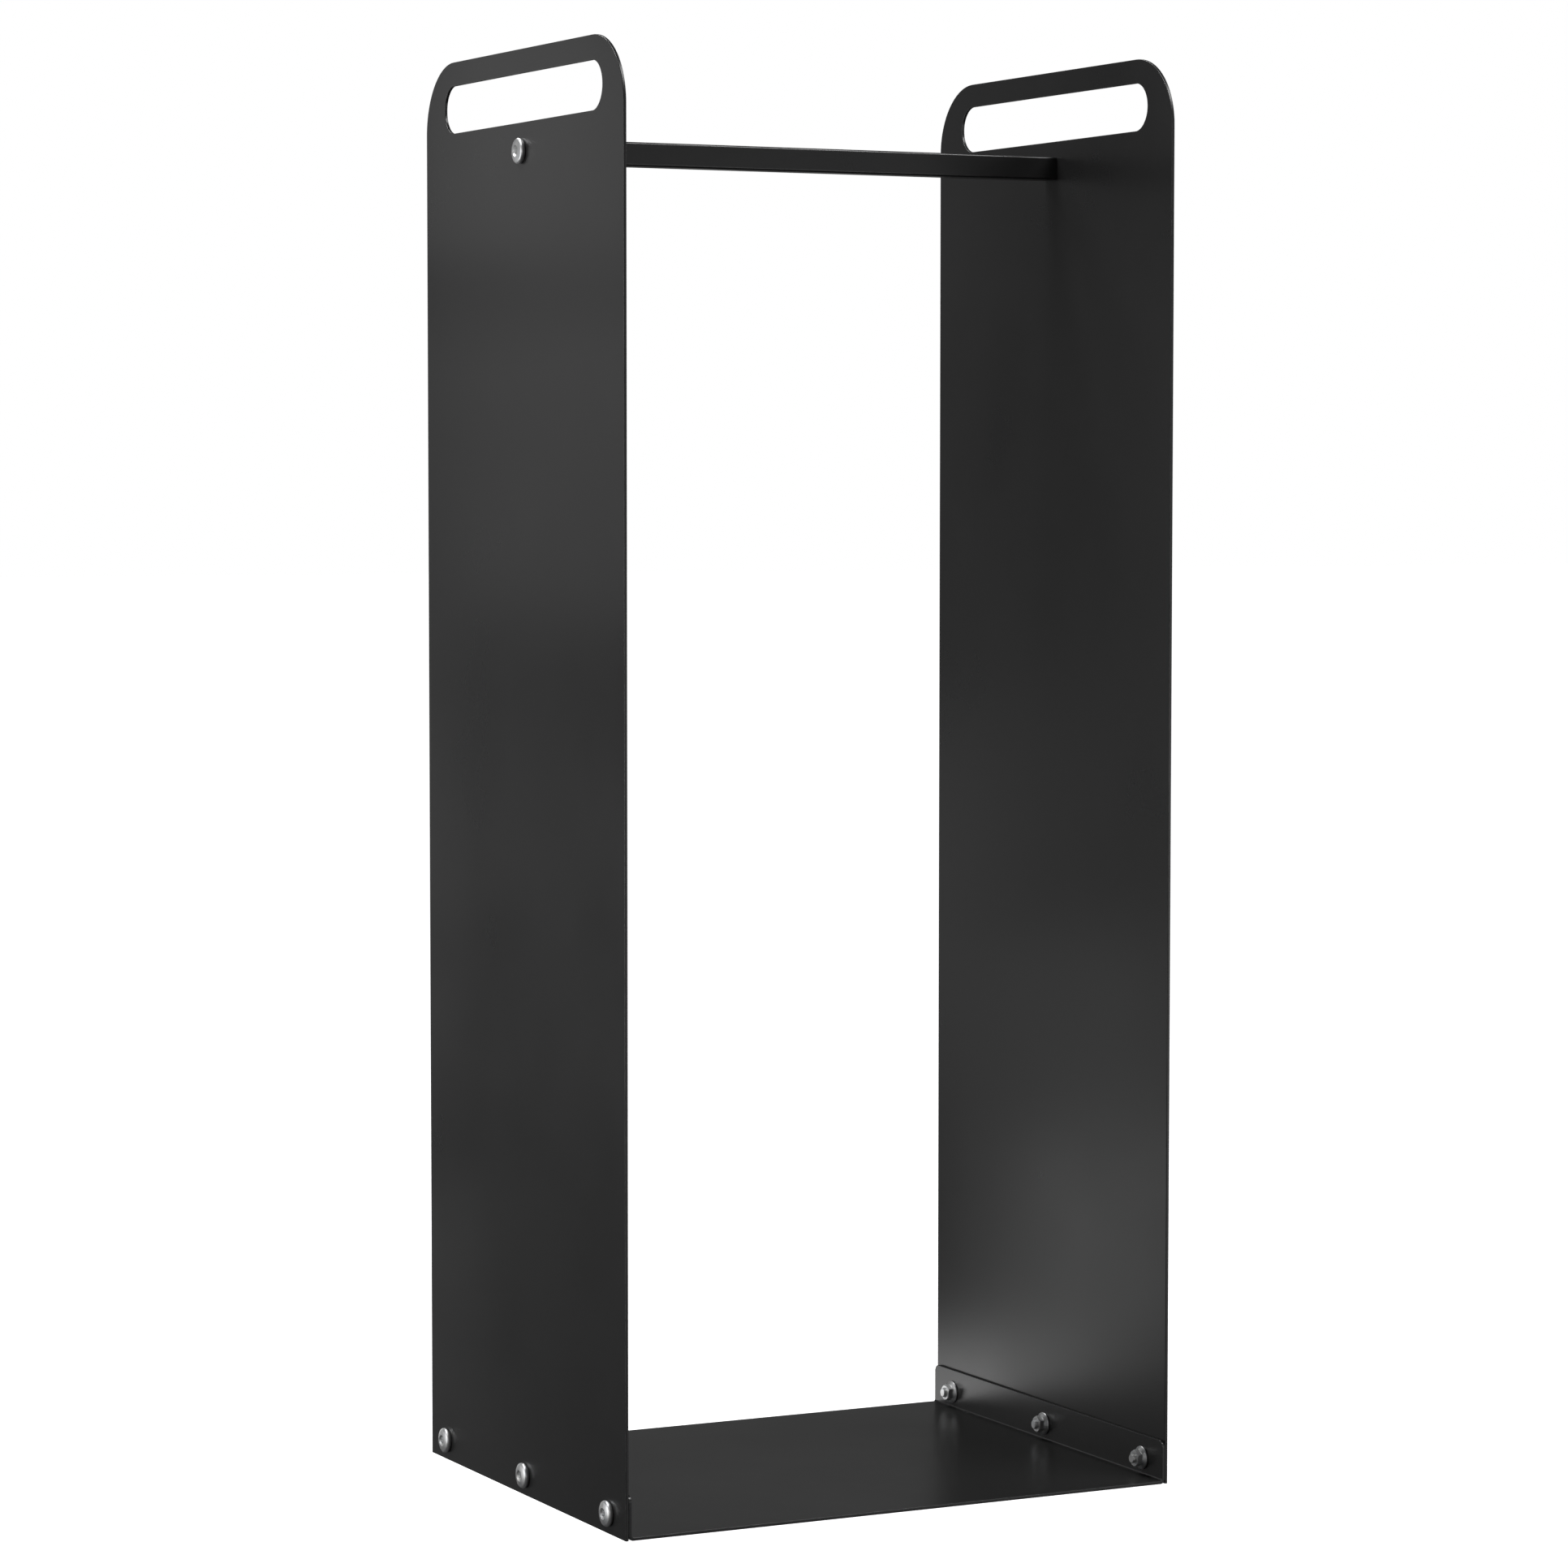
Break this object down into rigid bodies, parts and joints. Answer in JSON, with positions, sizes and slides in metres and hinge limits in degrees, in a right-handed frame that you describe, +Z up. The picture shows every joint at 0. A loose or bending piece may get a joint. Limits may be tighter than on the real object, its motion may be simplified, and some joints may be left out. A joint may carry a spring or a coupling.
{
  "type": "firewood log rack",
  "caption": "Tall narrow log rack of black sheet steel: flat sides with handle slots, a folded base tray and a square crossbar, bolted together.",
  "frame": {"origin": "centre of the footprint on the floor, at the middle of the bounding box's bottom", "axes": "+X to the right of the open front, +Y from front to back, +Z up"},
  "size_m": [0.3868, 0.3, 0.9],
  "materials": {
    "black_powder_coat": "matt, fine texture",
    "zinc_plated_steel": "bright zinc plating"
  },
  "bodies": {
    "root": {"left_side_panel": "black_powder_coat", "right_side_panel": "black_powder_coat", "base_tray": "black_powder_coat", "crossbar_tube": "black_powder_coat", "left_bar_insert": "zinc_plated_steel", "right_bar_insert": "zinc_plated_steel", "left_bar_bolt": "zinc_plated_steel", "right_bar_bolt": "zinc_plated_steel", "left_front_bolt": "zinc_plated_steel", "left_middle_bolt": "zinc_plated_steel", "left_back_bolt": "zinc_plated_steel", "right_front_bolt": "zinc_plated_steel", "right_middle_bolt": "zinc_plated_steel", "right_back_bolt": "zinc_plated_steel", "left_front_nut": "zinc_plated_steel", "left_middle_nut": "zinc_plated_steel", "left_back_nut": "zinc_plated_steel", "right_front_nut": "zinc_plated_steel", "right_middle_nut": "zinc_plated_steel", "right_back_nut": "zinc_plated_steel"}
  },
  "joints": []
}
